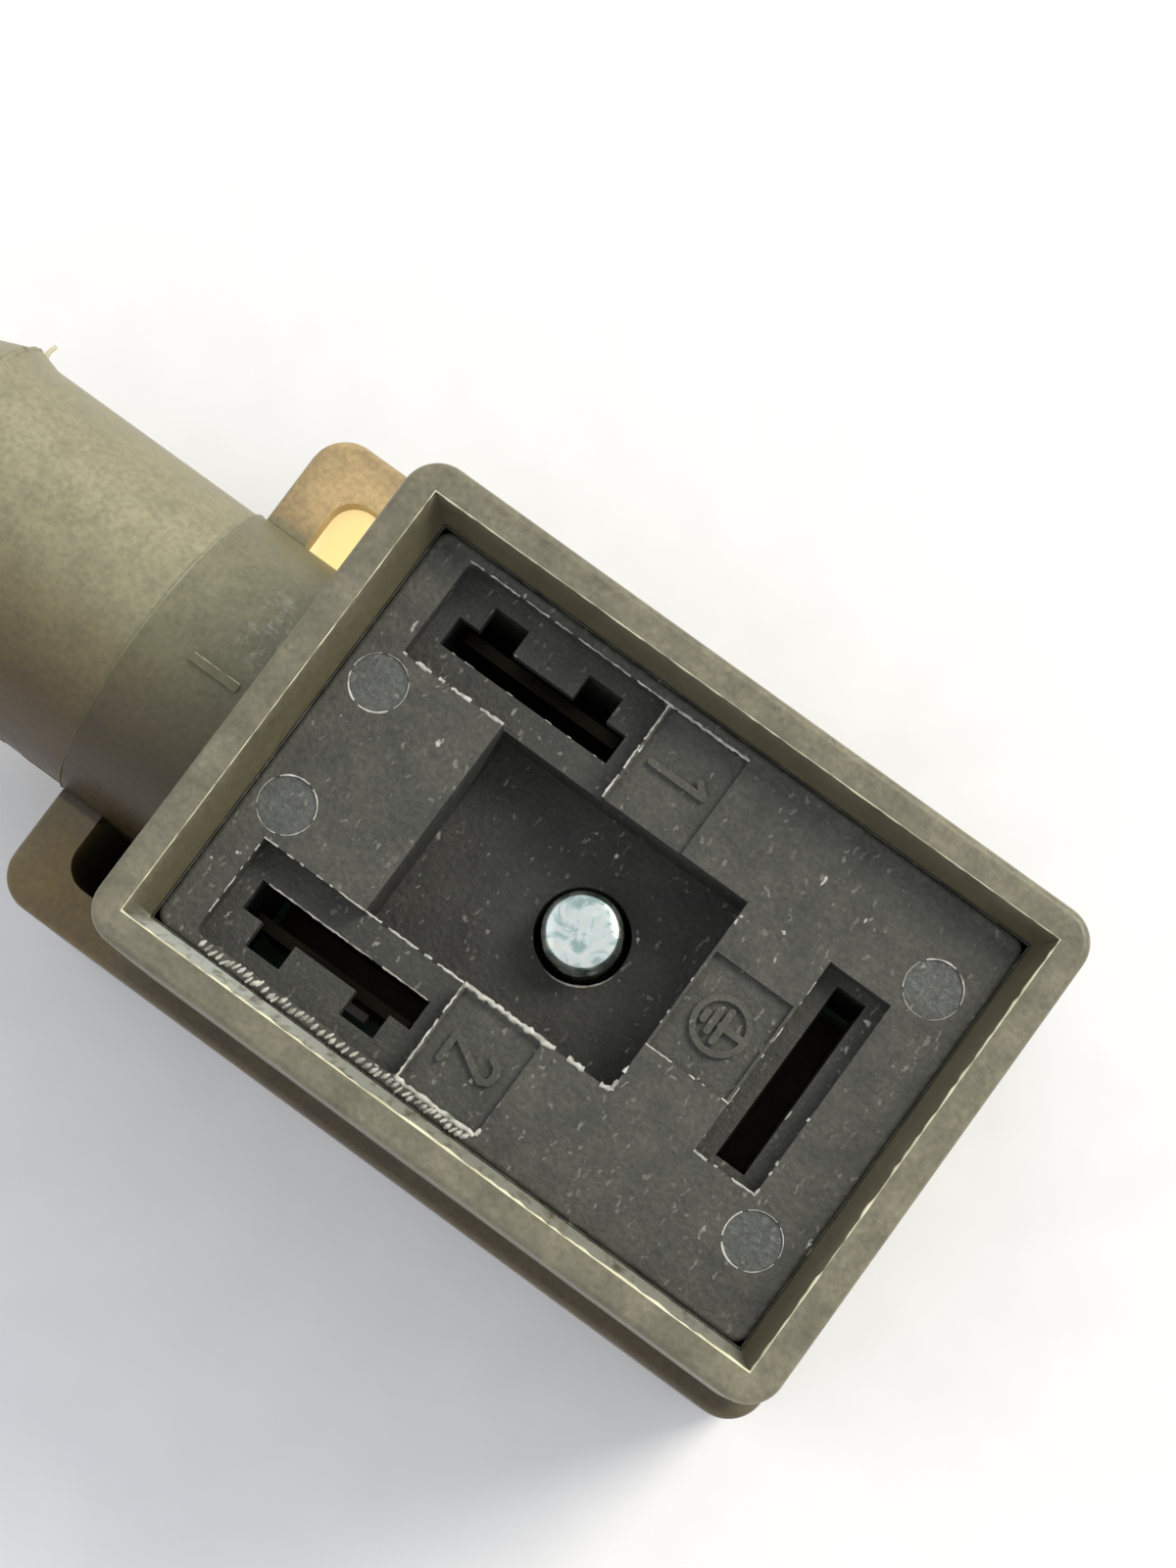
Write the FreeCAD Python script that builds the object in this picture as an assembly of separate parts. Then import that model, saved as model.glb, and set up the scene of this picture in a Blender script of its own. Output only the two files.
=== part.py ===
import FreeCAD
import Part

import math
import os

# Cable plug for a solenoid valve coil: two flat live contacts 11 mm apart and a flat earth contact.
# Millimetres. The origin is on the fixing screw's axis, in the plane of the rim that seats on the coil.
# +Z points out of the contact face, towards the coil, and the cable neck points to -X.
# Each piece is one STEP file in parts/.

V = FreeCAD.Vector

# ---- contact pattern
blade_spacing = 11.0      # between the two live blades' middle planes
live_to_earth = 15.25     # middle of the live blades to the earth blade's middle plane
screw_to_earth = 8.9      # fixing screw's axis to the same plane
blade_width = 6.3
blade_thickness = 0.8

# ---- contact carrier, seen from the contact face
carrier_depth = 2.0       # rim to the carrier's face
carrier_height = 10.5
carrier_corner = 0.5
slip = 0.08               # gap between the carrier and the skirt's wall, each side
slot_clearance = 0.45     # slot's end past the blade's edge
slot_width = 1.2
slot_offset = 0.25        # live slot's middle past the blade's middle, away from the centre
notch_width = 1.45
notch_depth = 1.0
notch_inset = 0.85        # slot's end to its notch
face_round = 0.2          # carrier's edge round its face
well_depth = 1.2          # the slots lie in shallow wells
well_corner = 0.35
well_margin = 0.68        # well's end past the slot's end
well_edge = 0.65          # well's side past the notches
web = 0.8                 # floor of the wells
cable_margin = 1.45       # live wells to the carrier's cable end
side_margin = 0.45        # live wells to the carrier's sides
far_margin = 2.6          # earth well to the carrier's far end
earth_well_width = 2.55
earth_well_end = 0.4
cell_gap = 0.15           # round a contact, inside the carrier
cell_wall = 0.38          # between the live contacts' cells and the boss recess
boss_length = 10.45       # recess for the coil's centre boss
boss_depth = 3.8
screw_hole = 3.5
pad_length = 3.25         # sunk squares that carry the contacts' marks
pad_land = 0.12
pad_sink = 0.25
mark_line = 0.26
mark_height = 0.2
ejector_radius = 1.05     # round witness marks left by the mould's ejector pins
ejector_sink = 0.06
wire_notch = 1.6          # how far the cable end is cut back for the wires
wire_notch_width = 9.0
wire_notch_height = 3.1

# ---- housing: skirt, hood and cable neck, one translucent moulding
wall_end = 1.75           # skirt's walls beside the carrier
wall_side = 1.57
skirt_corner = 1.35
rim_band = 1.1            # flat width of the rim that seats on the coil
rim_round = 0.3           # rim's outer edge
parting_depth = 13.5      # rim to the parting plane, which holds the neck's axis
ceiling = 1.6
back_room = 3.0           # terminal screws' heads to the ceiling
hood_overhang = 5.6       # how far the hood reaches past the skirt, under the neck
hood_side = 0.75          # how far it stands out at each side
hood_end = 0.35           # and at the far end
hood_corner = 1.5
hood_edge = 1.0
hood_shoulder = 0.25      # round edge of the ledge where the hood stands out from the skirt
hood_wall = 1.85          # wall left round the cored pockets on both sides of the neck
pocket_corner = 1.1
pillar = 1.4              # corner pillars that stop the carrier
neck_diameter = 12.5
neck_length = 16.35       # skirt to the neck's mouth
collar_step = 0.07        # the neck is this much thicker, in radius, over the hood
neck_root = 0.6           # fillet between the neck and the skirt
lip_height = 0.25
lip_length = 1.1
tick_length = 2.1
tick_width = 0.34
tick_height = 0.14
tick_gap = 1.45           # skirt to the tick

# ---- cable gland in the neck
gland_thread = 9.8        # bore of the neck that takes the gland screw
gland_engaged = 5.7       # length of its thread inside the neck
cable_hole = 6.0
passage_extra = 0.6       # the neck's inner passage is this much wider than the cable hole
grommet_length = 5.0
washer_thickness = 0.8
nose_step = 0.15          # the gland screw's flange stands this much over the neck, in radius
nose_length = 2.6
nose_drop = 1.0
gland_hex = 9.6           # across flats
gland_hex_length = 4.0
thread_clearance = 0.05

# ---- terminals, three alike
leaf = 0.45               # thickness of a contact's two leaves
leaf_gap = 0.12           # between each leaf and the blade
leaf_length = 6.6
leaf_short = 1.8          # leaves' tips to the web
root_height = 0.9
block_length = 5.0
block_width = 4.4
block_height = 5.4
block_floor = 0.8
block_top = 1.8
window_width = 3.0
clamp_thickness = 0.6
clamp_slip = 0.1
clamp_travel = 1.8
terminal_thread = 2.5
terminal_head = 4.2
terminal_head_height = 1.4
terminal_slot = 0.6
terminal_slot_depth = 0.7
part_gap = 0.3            # left between pieces that move past each other

# ---- circuit board and its parts
board_thickness = 1.0
board_margin = 0.5        # clear of the skirt's wall
board_fit = 0.35          # clear of the terminals' stems, each way
led_diameter = 3.0
led_height = 5.0
led_flange = 0.3
varistor_diameter = 5.0
varistor_thickness = 2.0
varistor_pitch = 2.4
resistor_diameter = 1.8
resistor_length = 3.2
lead_diameter = 0.5
lead_height = 1.2
lead_bend = 0.6
tab_thickness = 0.3
tab_width = 1.6
tab_length = 3.0
tab_foot = 1.6

# ---- fixing screw, captive in the housing
screw_thread = 2.9        # outside diameter of its M3 thread
screw_proud = 1.7         # tip above the boss recess's floor when it hangs loose
screw_waist = 2.2
waist_hole = 2.8
screw_head = 5.5
screw_head_height = 2.2
screw_slot = 0.8
screw_slot_depth = 1.1
screw_travel = 3.4
stand_off = 0.1           # the head stays this much inside the hood's top
head_room = 0.5           # gap round the head in its counterbore
seal_thickness = 0.8
turret_wall = 1.3
post_wall = 1.5

# ---- places worked out from the sizes above
earth_x = screw_to_earth
live_x = earth_x - live_to_earth
live_y = blade_spacing / 2
slot_y = live_y + slot_offset
slot_length = blade_width + 2 * slot_clearance
notch_y = slot_y + slot_width / 2 + notch_depth
reach = blade_thickness / 2 + leaf_gap + leaf
cell_y = live_y - reach - cell_gap
boss_y = cell_y - cell_wall
well_y = notch_y + well_edge
well_length = slot_length + 2 * well_margin
boss_x1 = earth_x - earth_well_width / 2 - pad_length - 2 * pad_land
boss_x0 = boss_x1 - boss_length
carrier_x0 = live_x - well_length / 2 - cable_margin
carrier_x1 = earth_x + earth_well_width / 2 + far_margin
carrier_y = well_y + side_margin
cavity_x0 = carrier_x0 - slip
cavity_x1 = carrier_x1 + slip
cavity_y = carrier_y + slip
skirt_x0 = cavity_x0 - wall_end
skirt_x1 = cavity_x1 + wall_end
skirt_y = cavity_y + wall_side
hood_x0 = skirt_x0 - hood_overhang
hood_x1 = skirt_x1 + hood_end
hood_y = skirt_y + hood_side
face_z = -carrier_depth
back_z = face_z - carrier_height
boss_floor_z = face_z - boss_depth
well_z = face_z - well_depth
web_z = well_z - web
axis_z = -parting_depth
board_z = back_z - board_thickness
block_z0 = board_z - block_height
window_z1 = board_z - block_floor
window_z0 = block_z0 + block_top
clamp_z0 = window_z0 + clamp_slip
terminal_seat_z = block_z0 - clamp_travel - part_gap
top = terminal_seat_z - terminal_head_height - back_room - ceiling
neck_radius = neck_diameter / 2
mouth_x = skirt_x0 - neck_length
shoulder_x = mouth_x + gland_engaged + washer_thickness + grommet_length
counterbore = screw_head / 2 + head_room
head_z1 = top + stand_off + screw_head_height
seal_z1 = head_z1 + seal_thickness
seat_z = seal_z1 + screw_travel
post_z = board_z - part_gap
board_x0 = cavity_x0 + board_margin + wire_notch
board_x1 = cavity_x1 - board_margin
board_y = cavity_y - board_margin
terminals = {"live_1": (live_x, live_y), "live_2": (live_x, -live_y), "earth": (earth_x, 0.0)}


def block(x0, x1, y0, y1, z0, z1):
    return Part.makeBox(x1 - x0, y1 - y0, z1 - z0, V(x0, y0, z0))


def centred(x, y, length, width, z0, z1):
    return block(x - length / 2, x + length / 2, y - width / 2, y + width / 2, z0, z1)


def upright_edges(shape):
    return [e for e in shape.Edges if abs(e.Vertexes[0].X - e.Vertexes[-1].X) < 1e-6
            and abs(e.Vertexes[0].Y - e.Vertexes[-1].Y) < 1e-6]


def level_edges(shape, z):
    return [e for e in shape.Edges if all(abs(v.Z - z) < 1e-6 for v in e.Vertexes)]


def rounded(x0, x1, y0, y1, z0, z1, radius):
    """A block whose four upright edges are rounded."""
    plain = block(x0, x1, y0, y1, z0, z1)
    return plain.makeFillet(radius, upright_edges(plain))


def rod_z(x, y, z0, z1, radius):
    return Part.makeCylinder(radius, z1 - z0, V(x, y, z0), V(0, 0, 1))


def rod_x(x0, x1, radius, y=0.0, z=axis_z):
    return Part.makeCylinder(radius, x1 - x0, V(x0, y, z), V(1, 0, 0))


def turned_x(profile):
    """Solid of revolution round the neck's axis from (x, radius) points."""
    points = [V(x, 0, axis_z + r) for x, r in profile]
    face = Part.Face(Part.makePolygon(points + points[:1]))
    return face.revolve(V(0, 0, axis_z), V(1, 0, 0), 360)


def turned_z(profile, x=0.0, y=0.0):
    """Solid of revolution round an upright axis from (radius, z) points."""
    points = [V(x + r, y, z) for r, z in profile]
    face = Part.Face(Part.makePolygon(points + points[:1]))
    return face.revolve(V(x, y, 0), V(0, 0, 1), 360)


def frustum(low, z_low, high, z_high):
    """A four-sided frustum between two rectangles, each given as (x0, x1, half width)."""
    wires = []
    for (x0, x1, y), z in ((low, z_low), (high, z_high)):
        corners = [V(x0, -y, z), V(x1, -y, z), V(x1, y, z), V(x0, y, z)]
        wires.append(Part.makePolygon(corners + corners[:1]))
    return Part.makeLoft(wires, True, True)


def joined(shapes):
    return shapes[0].multiFuse(shapes[1:]).removeSplitter()


def save(name, shape):
    assert shape.isValid(), name
    shape.exportStep(f"parts/{name}.step")


# ---- housing

def hood_block():
    body = rounded(hood_x0, hood_x1, -hood_y, hood_y, top, axis_z, hood_corner)
    body = body.makeFillet(hood_edge, level_edges(body, top))
    return body.makeFillet(hood_shoulder, level_edges(body, axis_z))


def neck_outside():
    """Collar over the hood, then the neck with a flared lip at its mouth."""
    collar = neck_radius + collar_step
    base = collar + 2 * neck_root
    body = turned_x([(cavity_x0, 0), (cavity_x0, base), (skirt_x0, base), (skirt_x0, collar),
                     (hood_x0, collar), (hood_x0, neck_radius),
                     (mouth_x + lip_length, neck_radius), (mouth_x + 0.2, neck_radius + lip_height),
                     (mouth_x, neck_radius + lip_height - 0.1), (mouth_x, 0)])
    root = [e for e in body.Edges if e.Closed and abs(e.BoundBox.XMax - skirt_x0) < 1e-6
            and abs(e.BoundBox.XMin - skirt_x0) < 1e-6 and e.Length < 2 * math.pi * (collar + neck_root)]
    return body.makeFillet(neck_root, root)


def neck_inside():
    passage = (cable_hole + passage_extra) / 2
    return [rod_x(mouth_x, shoulder_x, gland_thread / 2), rod_x(shoulder_x, cavity_x0, passage)]


def side_pockets():
    """Cored pockets in the hood on both sides of the neck."""
    x0 = hood_x0 + hood_wall
    made = []
    for side in (-1, 1):
        y_far = side * (hood_y - hood_wall)
        y = sorted((0, y_far))
        pocket = block(x0, skirt_x0, y[0], y[1], top + ceiling, axis_z)
        corner = [e for e in upright_edges(pocket)
                  if abs(e.Vertexes[0].X - x0) < 1e-6 and abs(e.Vertexes[0].Y - y_far) < 1e-6]
        made.append(pocket.makeFillet(pocket_corner, corner))
    return made


def neck_saddle():
    """Solid part of the hood under the neck, between the two pockets."""
    half = neck_radius + collar_step
    return block(hood_x0, skirt_x0, -half, half, top + ceiling / 2, axis_z)


def screw_turret():
    """Post inside the housing that carries the fixing screw's seat and guides its waist."""
    return [rod_z(0, 0, top + ceiling / 2, seat_z + turret_wall, counterbore + turret_wall),
            rod_z(0, 0, seat_z, post_z, waist_hole / 2 + post_wall)]


def corner_pillars():
    made = []
    for x_wall, inwards in ((cavity_x0, 1), (cavity_x1, -1)):
        for side in (-1, 1):
            x = sorted((x_wall, x_wall + inwards * pillar))
            y = sorted((side * cavity_y, side * (cavity_y - pillar)))
            made.append(block(x[0], x[1], y[0], y[1], top + ceiling / 2, back_z))
    return made


def housing():
    skirt = rounded(skirt_x0, skirt_x1, -skirt_y, skirt_y, top + hood_edge, 0, skirt_corner)
    skirt = skirt.makeFillet(rim_round, level_edges(skirt, 0))
    hood = hood_block().cut(side_pockets())
    shell = joined([skirt, hood, neck_saddle(), neck_outside()])
    cavity = block(cavity_x0, cavity_x1, -cavity_y, cavity_y, top + ceiling, face_z)
    mouth = frustum((cavity_x0, cavity_x1, cavity_y), face_z,
                    (skirt_x0 + rim_band, skirt_x1 - rim_band, skirt_y - rim_band), 0)
    crest = axis_z + neck_radius + collar_step
    tick_x = skirt_x0 - tick_gap - tick_length / 2
    tick = centred(tick_x, 0, tick_length, tick_width, crest - 0.2, crest + tick_height)
    shell = shell.cut([cavity, mouth]).multiFuse(screw_turret() + corner_pillars() + [tick])
    screw_way = [rod_z(0, 0, top, seat_z, counterbore), rod_z(0, 0, seat_z, post_z, waist_hole / 2)]
    return shell.cut(screw_way + neck_inside()).removeSplitter()


# ---- cable gland

def ring_x(x0, x1, outer, inner):
    return rod_x(x0, x1, outer).cut(rod_x(x0, x1, inner))


def cable_grommet():
    outer = gland_thread / 2 - thread_clearance
    return ring_x(shoulder_x - grommet_length, shoulder_x, outer, cable_hole / 2)


def thrust_washer():
    x0 = mouth_x + gland_engaged
    return ring_x(x0, x0 + washer_thickness, gland_thread / 2 - thread_clearance, cable_hole / 2)


def gland_screw():
    thread = gland_thread / 2 - thread_clearance
    flange = neck_radius + nose_step
    nose_x = mouth_x - nose_length
    end_x = nose_x - gland_hex_length
    crown = gland_hex / 2 + 0.45
    body = turned_x([(mouth_x + gland_engaged, 0), (mouth_x + gland_engaged, thread), (mouth_x, thread),
                     (mouth_x, flange), (nose_x, flange - nose_drop), (nose_x, 0)])
    corners = [V(end_x, gland_hex / math.sqrt(3) * math.cos(math.radians(60 * i)),
                 axis_z + gland_hex / math.sqrt(3) * math.sin(math.radians(60 * i))) for i in range(6)]
    grip = Part.Face(Part.makePolygon(corners + corners[:1])).extrude(V(nose_x - end_x, 0, 0))
    trim = turned_x([(nose_x, 0), (nose_x, crown), (end_x + 0.7, crown), (end_x, crown - 0.7), (end_x, 0)])
    hole = rod_x(end_x, mouth_x + gland_engaged, cable_hole / 2)
    return joined([body, grip.common(trim)]).cut(hole)


# ---- contact carrier

def live_pad_x():
    return live_x + well_length / 2 + pad_land + pad_length / 2


def live_pad_y():
    return (boss_y + well_y) / 2


def earth_pad_x():
    return boss_x1 + pad_land + pad_length / 2


def live_openings(side):
    """Well, slot with its two notches, and the cell behind them, for one live contact."""
    slot = centred(live_x, side * slot_y, slot_length, slot_width, web_z, well_z)
    y = sorted((side * boss_y, side * well_y))
    well = block(live_x - well_length / 2, live_x + well_length / 2, y[0], y[1], well_z, face_z)
    outer = [e for e in upright_edges(well) if abs(e.Vertexes[0].Y - side * well_y) < 1e-6]
    tools = [slot, well.makeFillet(well_corner, outer)]
    for end in (-1, 1):
        x = live_x + end * (slot_length / 2 - notch_inset - notch_width / 2)
        tools.append(centred(x, side * (notch_y - notch_depth / 2), notch_width, notch_depth, web_z, well_z))
    y = sorted((side * cell_y, side * notch_y))
    half = slot_length / 2 + cell_gap
    tools.append(block(live_x - half, live_x + half, y[0], y[1], back_z, web_z))
    return tools


def earth_openings():
    cell = 2 * (reach + cell_gap)
    return [centred(earth_x, 0, earth_well_width, slot_length + 2 * earth_well_end, well_z, face_z),
            centred(earth_x, 0, slot_width, slot_length, web_z, well_z),
            centred(earth_x, 0, cell, slot_length + 2 * cell_gap, back_z, web_z)]


def stroke(points, z0, z1):
    """A raised line of constant width through the points."""
    made = [rod_z(x, y, z0, z1, mark_line / 2) for x, y in points]
    for (xa, ya), (xb, yb) in zip(points, points[1:]):
        length = math.hypot(xb - xa, yb - ya)
        bar = Part.makeBox(length, mark_line, z1 - z0, V(0, -mark_line / 2, z0))
        bar.rotate(V(0, 0, 0), V(0, 0, 1), math.degrees(math.atan2(yb - ya, xb - xa)))
        bar.translate(V(xa, ya, 0))
        made.append(bar)
    return joined(made)


def marks():
    """Raised 1, 2 and earth sign on their sunk squares, their tops away from the cable."""
    z0 = face_z - pad_sink
    z1 = z0 + mark_height
    x, y = live_pad_x(), live_pad_y()
    one = stroke([(x - 1.1, y), (x + 1.1, y), (x + 0.7, y + 0.4)], z0, z1)
    two = stroke([(x - 0.95, -y - 0.55), (x - 0.95, -y + 0.5), (x - 0.2, -y + 0.1), (x + 0.35, -y - 0.25),
                  (x + 0.65, -y - 0.4), (x + 0.9, -y - 0.28), (x + 1.0, -y + 0.02), (x + 0.88, -y + 0.33),
                  (x + 0.6, -y + 0.47)], z0, z1)
    x = earth_pad_x()
    ring = rod_z(x, 0, z0, z1, 1.1).cut(rod_z(x, 0, z0, z1, 0.87))
    made = [one, two, ring, stroke([(x, 0), (x + 0.95, 0)], z0, z1)]
    for step, half in ((0.0, 0.6), (0.36, 0.4), (0.7, 0.14)):
        made.append(stroke([(x - step + 0.05, -half), (x - step + 0.05, half)], z0, z1))
    return made


def contact_carrier():
    body = rounded(carrier_x0, carrier_x1, -carrier_y, carrier_y, back_z, face_z, carrier_corner)
    body = body.makeFillet(face_round, level_edges(body, face_z))
    tools = [block(boss_x0, boss_x1, -boss_y, boss_y, boss_floor_z, face_z),
             rod_z(0, 0, back_z, boss_floor_z, screw_hole / 2),
             block(carrier_x0, carrier_x0 + wire_notch, -wire_notch_width / 2, wire_notch_width / 2,
                   back_z, back_z + wire_notch_height)]
    for side in (-1, 1):
        y = side * live_pad_y()
        tools += live_openings(side)
        tools.append(centred(live_pad_x(), y, pad_length, well_y - boss_y, face_z - pad_sink, face_z))
        for mark_x, mark_y in ((carrier_x0 + 1.4, boss_y - 1.35), (carrier_x1 - 1.75, live_y - 0.2)):
            tools.append(rod_z(mark_x, side * mark_y, face_z - ejector_sink, face_z, ejector_radius))
    tools += earth_openings()
    tools.append(centred(earth_pad_x(), 0, pad_length, boss_y, face_z - pad_sink, face_z))
    return body.cut(tools).multiFuse(marks()).removeSplitter()


# ---- terminals

def contact(name):
    """Female contact in one piece: two leaves on a root, a stem through the board, and the wire block."""
    x, y = terminals[name]
    turned = name == "earth"
    near = blade_thickness / 2 + leaf_gap
    made = []
    for low, high, z1 in ((-reach, -near, web_z - leaf_short), (near, reach, web_z - leaf_short),
                          (-reach, reach, back_z + root_height)):
        if turned:
            made.append(block(x + low, x + high, y - leaf_length / 2, y + leaf_length / 2, back_z, z1))
        else:
            made.append(block(x - leaf_length / 2, x + leaf_length / 2, y + low, y + high, back_z, z1))
    made.append(centred(x, y, 2 * reach, 2 * reach, board_z, back_z))
    body = centred(x, y, block_length, block_width, block_z0, board_z)
    window = centred(x, y, block_length, window_width, window_z0, window_z1)
    made.append(body.cut([window, rod_z(x, y, block_z0, window_z0, terminal_thread / 2 + thread_clearance)]))
    return joined(made)


def clamp_plate(name):
    x, y = terminals[name]
    width = window_width - 2 * clamp_slip
    return centred(x, y, block_length - 0.4, width, clamp_z0, clamp_z0 + clamp_thickness)


def terminal_screw(name):
    """Slotted clamp screw, wound out: its tip stands on the clamp plate."""
    x, y = terminals[name]
    radius = terminal_thread / 2
    head = terminal_head / 2
    low = terminal_seat_z - terminal_head_height
    body = turned_z([(0, clamp_z0), (radius - 0.2, clamp_z0), (radius, clamp_z0 - 0.2),
                     (radius, terminal_seat_z), (head, terminal_seat_z), (head, low + 0.25),
                     (head - 0.25, low), (0, low)], x, y)
    return body.cut(centred(x, y, terminal_head + 1, terminal_slot, low, low + terminal_slot_depth))


# ---- circuit board

def circuit_board():
    body = block(board_x0, board_x1, -board_y, board_y, board_z, back_z)
    tools = [rod_z(0, 0, board_z, back_z, screw_thread / 2 + 2 * part_gap)]
    hole = 2 * (reach + board_fit)
    tools += [centred(x, y, hole, hole, board_z, back_z) for x, y in terminals.values()]
    corner = 2 * (pillar + part_gap)
    tools += [centred(x, side * cavity_y, corner, corner, board_z, back_z)
              for x in (cavity_x0, cavity_x1) for side in (-1, 1)]
    return body.cut(tools)


def resistor_reach():
    return resistor_length / 2 + lead_bend + lead_diameter / 2


def resistor_place():
    return board_x1 - 0.3 - resistor_reach(), live_y


def led_place():
    x, y = resistor_place()
    return x - resistor_reach() - part_gap - led_diameter / 2 - led_flange, y


def indicator_led():
    x, y = led_place()
    radius = led_diameter / 2
    z1 = board_z - lead_height
    dome_z = z1 - led_height + radius
    leads = [rod_z(x + s * 0.6, y, z1, board_z, lead_diameter / 2) for s in (-1, 1)]
    return joined([rod_z(x, y, z1 - 0.9, z1, radius + led_flange), rod_z(x, y, dome_z, z1, radius),
                   Part.makeSphere(radius, V(x, y, dome_z))] + leads)


def varistor():
    x, y = led_place()[0] + 1.5, -live_y
    radius = varistor_diameter / 2
    z = board_z - lead_height - radius
    disc = Part.makeCylinder(radius, varistor_thickness, V(x, y - varistor_thickness / 2, z), V(0, 1, 0))
    disc = disc.makeFillet(0.5, [e for e in disc.Edges if e.Closed])
    leads = [rod_z(x + s * varistor_pitch / 2, y, z, board_z, lead_diameter / 2) for s in (-1, 1)]
    return joined([disc] + leads)


def series_resistor():
    x, y = resistor_place()
    radius = resistor_diameter / 2
    wire = lead_diameter / 2
    z = board_z - lead_height / 2 - radius
    body = rod_x(x - resistor_length / 2, x + resistor_length / 2, radius, y, z)
    made = [body.makeFillet(0.35, [e for e in body.Edges if e.Closed])]
    for end in (-1, 1):
        bend_x = x + end * (resistor_length / 2 + lead_bend)
        low, high = sorted((x + end * (resistor_length / 2 - 0.3), bend_x))
        made += [rod_x(low, high, wire, y, z), Part.makeSphere(wire, V(bend_x, y, z)),
                 rod_z(bend_x, y, z, board_z, wire)]
    return joined(made)


def board_tabs():
    """Bent tabs on the board that bear on the live wire blocks."""
    made = []
    for side in (-1, 1):
        x = live_x + block_length / 2
        y = side * live_y
        upright = centred(x + tab_thickness / 2, y, tab_thickness, tab_width, board_z - tab_length, board_z)
        foot = centred(x + tab_foot / 2, y, tab_foot, tab_width, board_z - tab_thickness, board_z)
        made.append(joined([upright, foot]))
    return Part.makeCompound(made)


# ---- fixing screw

def fixing_screw():
    """Captive screw: threaded tip, thin waist and slotted head; the thread's end rests on the post."""
    thread = screw_thread / 2
    head = screw_head / 2
    tip_z = boss_floor_z + screw_proud
    low = top + stand_off
    body = turned_z([(0, tip_z), (thread - 0.2, tip_z), (thread, tip_z - 0.2), (thread, post_z),
                     (screw_waist / 2, post_z), (screw_waist / 2, head_z1), (head, head_z1),
                     (head, low + 0.3), (head - 0.3, low), (0, low)])
    return body.cut(centred(0, 0, screw_head + 1, screw_slot, low, low + screw_slot_depth))


def screw_seal():
    outer = rod_z(0, 0, head_z1, seal_z1, counterbore - part_gap)
    return outer.cut(rod_z(0, 0, head_z1, seal_z1, screw_waist / 2))


def main():
    os.makedirs("parts", exist_ok=True)
    save("housing", housing())
    save("cable_grommet", cable_grommet())
    save("thrust_washer", thrust_washer())
    save("gland_screw", gland_screw())
    save("contact_carrier", contact_carrier())
    for name in terminals:
        save(f"{name}_contact", contact(name))
        save(f"{name}_clamp_plate", clamp_plate(name))
        save(f"{name}_terminal_screw", terminal_screw(name))
    save("circuit_board", circuit_board())
    save("indicator_led", indicator_led())
    save("varistor", varistor())
    save("series_resistor", series_resistor())
    save("board_tabs", board_tabs())
    save("fixing_screw", fixing_screw())
    save("screw_seal", screw_seal())


main()
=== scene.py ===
import math
import random

import bmesh
import bpy
from mathutils import Matrix, Vector


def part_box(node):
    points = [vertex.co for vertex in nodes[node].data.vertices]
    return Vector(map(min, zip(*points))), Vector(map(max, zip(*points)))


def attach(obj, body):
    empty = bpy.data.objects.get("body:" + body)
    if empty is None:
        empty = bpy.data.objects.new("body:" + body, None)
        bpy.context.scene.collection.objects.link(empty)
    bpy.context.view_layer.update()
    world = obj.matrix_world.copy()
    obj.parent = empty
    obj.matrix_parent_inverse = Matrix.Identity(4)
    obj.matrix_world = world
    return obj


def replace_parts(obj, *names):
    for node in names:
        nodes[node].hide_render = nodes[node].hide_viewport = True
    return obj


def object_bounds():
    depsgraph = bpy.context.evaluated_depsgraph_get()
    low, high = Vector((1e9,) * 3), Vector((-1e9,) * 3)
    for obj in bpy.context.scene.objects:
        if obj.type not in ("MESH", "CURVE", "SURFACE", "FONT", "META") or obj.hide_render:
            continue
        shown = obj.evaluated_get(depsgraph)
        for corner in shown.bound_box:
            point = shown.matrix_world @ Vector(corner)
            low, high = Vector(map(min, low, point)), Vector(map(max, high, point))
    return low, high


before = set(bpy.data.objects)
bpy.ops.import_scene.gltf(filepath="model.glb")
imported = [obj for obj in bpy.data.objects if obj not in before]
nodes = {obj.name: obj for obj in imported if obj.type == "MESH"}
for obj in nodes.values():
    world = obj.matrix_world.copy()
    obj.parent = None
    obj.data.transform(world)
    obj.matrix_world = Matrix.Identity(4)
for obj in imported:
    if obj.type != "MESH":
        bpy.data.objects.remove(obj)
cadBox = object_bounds()
mm = 0.001
print("frame loaded:", len(nodes), "parts")

# A mix node has a set of sockets for each kind of value, all with the same names, so they go by number here.
mixBy, mixFrom, mixTo, mixOut = 0, 6, 7, 2
bendFrom, bendTo, bendOut = 4, 5, 1


# sRGB hex to the linear colour that shaders want
def hexToLinear(code):
    made = []
    for i in (1, 3, 5):
        c = int(code[i:i + 2], 16) / 255
        made.append(c / 12.92 if c <= 0.04045 else ((c + 0.055) / 1.055) ** 2.4)
    return (*made, 1.0)


# a socket, or a node by its first output, is linked; anything else is a value
def setInputs(tree, node, inputs):
    for key, value in inputs.items():
        if isinstance(value, bpy.types.Node):
            value = value.outputs[0]
        if isinstance(value, bpy.types.NodeSocket):
            tree.links.new(value, node.inputs[key])
        else:
            node.inputs[key].default_value = value


def addNode(tree, kind, inputs=None, stops=None, **settings):
    node = tree.nodes.new("ShaderNode" + kind)
    for key, value in settings.items():
        setattr(node, key, value)
    setInputs(tree, node, inputs or {})
    if stops:
        ramp = node.color_ramp.elements
        while len(ramp) < len(stops):
            ramp.new(0.5)
        for element, (place, colour) in zip(ramp, stops):
            element.position = place
            element.color = hexToLinear(colour) if isinstance(colour, str) else (colour,) * 3 + (1,)
    return node


# inputs for a texture whose cell is this many millimetres
def pattern(place, size, **more):
    return {"Vector": place, "Scale": 1 / (size * mm), **more}


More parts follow.
